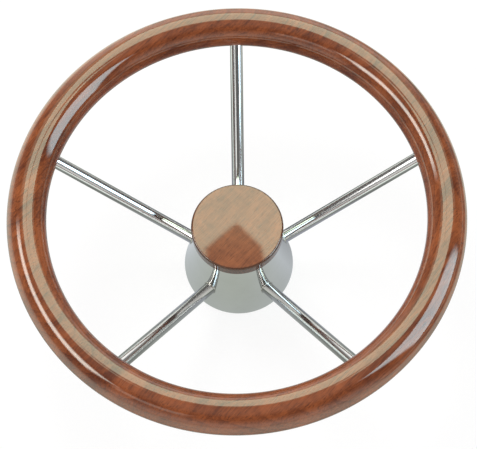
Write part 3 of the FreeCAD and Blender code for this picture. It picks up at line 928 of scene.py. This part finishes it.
def circle(tree, resolution, radius):
    """Round curve in the XY plane."""
    inputs = {"Resolution": resolution, "Radius": radius}
    return add_node(tree, "GeometryNodeCurvePrimitiveCircle", inputs).outputs["Curve"]


def finish_tree(tree, start, end, geometry):
    """Realise copies, shade smooth except at creases, and set the finish."""
    real = add_node(tree, "GeometryNodeRealizeInstances", {"Geometry": geometry})
    smooth = add_node(tree, "GeometryNodeSetShadeSmooth", {0: real.outputs[0], 2: True}, domain="FACE")
    angle = add_node(tree, "GeometryNodeInputMeshEdgeAngle")
    crease = sum_of(tree, "GREATER_THAN", angle.outputs["Unsigned Angle"], CREASE_ANGLE)
    inputs = {0: smooth.outputs[0], 1: crease, 2: False}
    sharp = add_node(tree, "GeometryNodeSetShadeSmooth", inputs, domain="EDGE")
    inputs = {"Geometry": sharp.outputs[0], "Material": start["Finish"]}
    finish = add_node(tree, "GeometryNodeSetMaterial", inputs)
    tree.links.new(finish.outputs[0], end[0])


def grow(name, tree, inputs):
    """Run a tree with its inputs and keep the result as a plain mesh object."""
    piece = bpy.data.objects.new(name, bpy.data.meshes.new(name))
    SCENE.collection.objects.link(piece)
    modifier = piece.modifiers.new("maker", "NODES")
    modifier.node_group = tree
    for item in tree.interface.items_tree:
        if item.in_out == "INPUT":
            modifier[item.identifier] = inputs[item.name]
    graph = bpy.context.evaluated_depsgraph_get()
    mesh = bpy.data.meshes.new_from_object(piece.evaluated_get(graph), depsgraph=graph)
    piece.modifiers.clear()
    piece.data = mesh
    mesh.name = name
    return piece


def place_piece(piece, slot_name, *nodes):
    """Let a piece ride with the wheel and hide the solids that it stands for; the finish's name is not
    used.
    """
    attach(piece, "root")
    if nodes:
        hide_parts(*nodes)
    print(piece.name, len(piece.data.polygons), "faces")


print("helpers for pieces ready")

# %% [markdown]
# The rim is one ring of wood with a round section. A turner cuts a round section all along a
# ring, so here a small circle is swept along a large one. The tree does it from two radii and a
# height, and gives an even mesh whose smooth normals carry the long reflections without a
# ripple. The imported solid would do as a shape, but its facets would show in the varnish.

# %% Rim
RIM_STEPS = 360
SECTION_STEPS = 72


def rim_tree():
    """Round section swept round a ring."""
    inputs = {"Ring Radius": "Float", "Section Radius": "Float", "Height": "Float"}
    tree, start, end = geometry_tree("swept_rim", {**inputs, "Ring Steps": "Int", "Section Steps": "Int"})
    swept = add_node(tree, "GeometryNodeCurveToMesh", {
        "Curve": circle(tree, start["Ring Steps"], start["Ring Radius"]),
        "Profile Curve": circle(tree, start["Section Steps"], start["Section Radius"]),
    })
    lift = add_node(tree, "ShaderNodeCombineXYZ", {"Z": start["Height"]})
    inputs = {"Geometry": swept.outputs[0], "Translation": lift.outputs[0]}
    raised = add_node(tree, "GeometryNodeTransform", inputs)
    finish_tree(tree, start, end, raised.outputs[0])
    return tree


RIM = grow("rim", rim_tree(), {
    "Ring Radius": RIM_RADIUS,
    "Section Radius": SECTION_RADIUS,
    "Height": RIM_HEIGHT,
    "Ring Steps": RIM_STEPS,
    "Section Steps": SECTION_STEPS,
    "Finish": RIM_WOOD,
})
place_piece(RIM, "varnished_rim", "wooden_rim")

# %% [markdown]
# The five spokes are one rod, cut five times. The tree draws the rod upright, stores each
# point's place in the rod, which the polishing lines follow, and then lays the rod along its
# spoke. It runs once for each spoke, because each is a piece of its own.

# %% Spokes
ROD_SIDES = 64


def rod_tree():
    """Round bar of a length and radius, laid from one end to a direction."""
    inputs = {"Length": "Float", "Radius": "Float", "Sides": "Int", "Start": "Vector", "Turn": "Vector"}
    tree, start, end = geometry_tree("polished_rod", inputs)
    top = add_node(tree, "ShaderNodeCombineXYZ", {"Z": start["Length"]})
    line = add_node(tree, "GeometryNodeCurvePrimitiveLine", {"Start": (0, 0, 0), "End": top.outputs[0]})
    bar = add_node(tree, "GeometryNodeCurveToMesh", {
        "Curve": line.outputs[0],
        "Profile Curve": circle(tree, start["Sides"], start["Radius"]),
        "Fill Caps": True,
    })
    own_place = add_node(tree, "GeometryNodeInputPosition")
    stored = add_node(tree, "GeometryNodeStoreNamedAttribute", {
        "Geometry": bar.outputs[0],
        "Name": "rod_place",
        "Value": own_place.outputs[0],
    }, data_type="FLOAT_VECTOR", domain="POINT")
    laid = add_node(tree, "GeometryNodeTransform", {
        "Geometry": stored.outputs[0],
        "Translation": start["Start"],
        "Rotation": start["Turn"],
    })
    finish_tree(tree, start, end, laid.outputs[0])
    return tree


ROD_TREE = rod_tree()
for spoke, (inner, outer, radius) in RODS.items():
    along = outer - inner
    rod = grow(spoke.replace("spoke", "rod"), ROD_TREE, {
        "Length": along.length,
        "Radius": radius,
        "Sides": ROD_SIDES,
        "Start": inner,
        "Turn": along.to_track_quat("Z", "Y").to_euler(),
        "Finish": ROD_STEEL,
    })
    place_piece(rod, "polished_rod", spoke)

# %% [markdown]
# Where each rod enters the cone, a small bead of weld was run round it and dressed. The bead
# follows a curve on two surfaces at once, so the tree finds it by shooting rays: from a circle
# round the rod, back along the rod, to the cone. A thin tube with a slight ripple then follows
# the points that were hit.

# %% Weld beads
BEAD_RADIUS = 0.0005
BEAD_CLEARANCE = 0.4 * BEAD_RADIUS
BEAD_STEPS = 96
BEAD_SIDES = 12
BEAD_RIPPLES = 22
BEAD_RIPPLE_HEIGHT = 0.12
BEAD_START = 0.075
BEAD_REACH = 0.1


def bead_tree():
    """Ring of weld round a rod, on the surface that the rod enters."""
    inputs = {"Surface": "Object", "Rod Radius": "Float", "Bead Radius": "Float", "Ripples": "Float"}
    inputs.update({"Start": "Vector", "Turn": "Vector", "Back": "Vector"})
    tree, start, end = geometry_tree("weld_bead", inputs)
    laid = add_node(tree, "GeometryNodeTransform", {
        "Geometry": circle(tree, BEAD_STEPS, start["Rod Radius"]),
        "Translation": start["Start"],
        "Rotation": start["Turn"],
    })
    surface = add_node(tree, "GeometryNodeObjectInfo", {"Object": start["Surface"]})
    own_place = add_node(tree, "GeometryNodeInputPosition")
    ray = add_node(tree, "GeometryNodeRaycast", {
        "Target Geometry": surface.outputs["Geometry"],
        "Source Position": own_place.outputs[0],
        "Ray Direction": start["Back"],
        "Ray Length": BEAD_REACH,
    })
    inputs = {"Geometry": laid.outputs[0], "Position": ray.outputs["Hit Position"]}
    seated = add_node(tree, "GeometryNodeSetPosition", inputs)
    along = add_node(tree, "GeometryNodeSplineParameter")
    wave = sum_of(tree, "MULTIPLY", along.outputs["Factor"], start["Ripples"])
    ripple = sum_of(tree, "SINE", sum_of(tree, "MULTIPLY", wave, 2 * math.pi))
    tube = add_node(tree, "GeometryNodeCurveToMesh", {
        "Curve": seated.outputs[0],
        "Profile Curve": circle(tree, BEAD_SIDES, start["Bead Radius"]),
        "Scale": sum_of(tree, "MULTIPLY_ADD", ripple, BEAD_RIPPLE_HEIGHT, 1.0),
    })
    finish_tree(tree, start, end, tube.outputs[0])
    return tree


BEAD_TREE = bead_tree()
for spoke, (inner, outer, radius) in RODS.items():
    along = (outer - inner).normalized()
    bead = grow(spoke.replace("spoke", "weld"), BEAD_TREE, {
        "Surface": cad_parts["hub_shell"],
        "Rod Radius": radius + BEAD_CLEARANCE,
        "Bead Radius": BEAD_RADIUS,
        "Ripples": float(BEAD_RIPPLES),
        "Start": inner + along * BEAD_START,
        "Turn": along.to_track_quat("Z", "Y").to_euler(),
        "Back": -along,
        "Finish": WELD_STEEL,
    })
    place_piece(bead, "polished_shell")
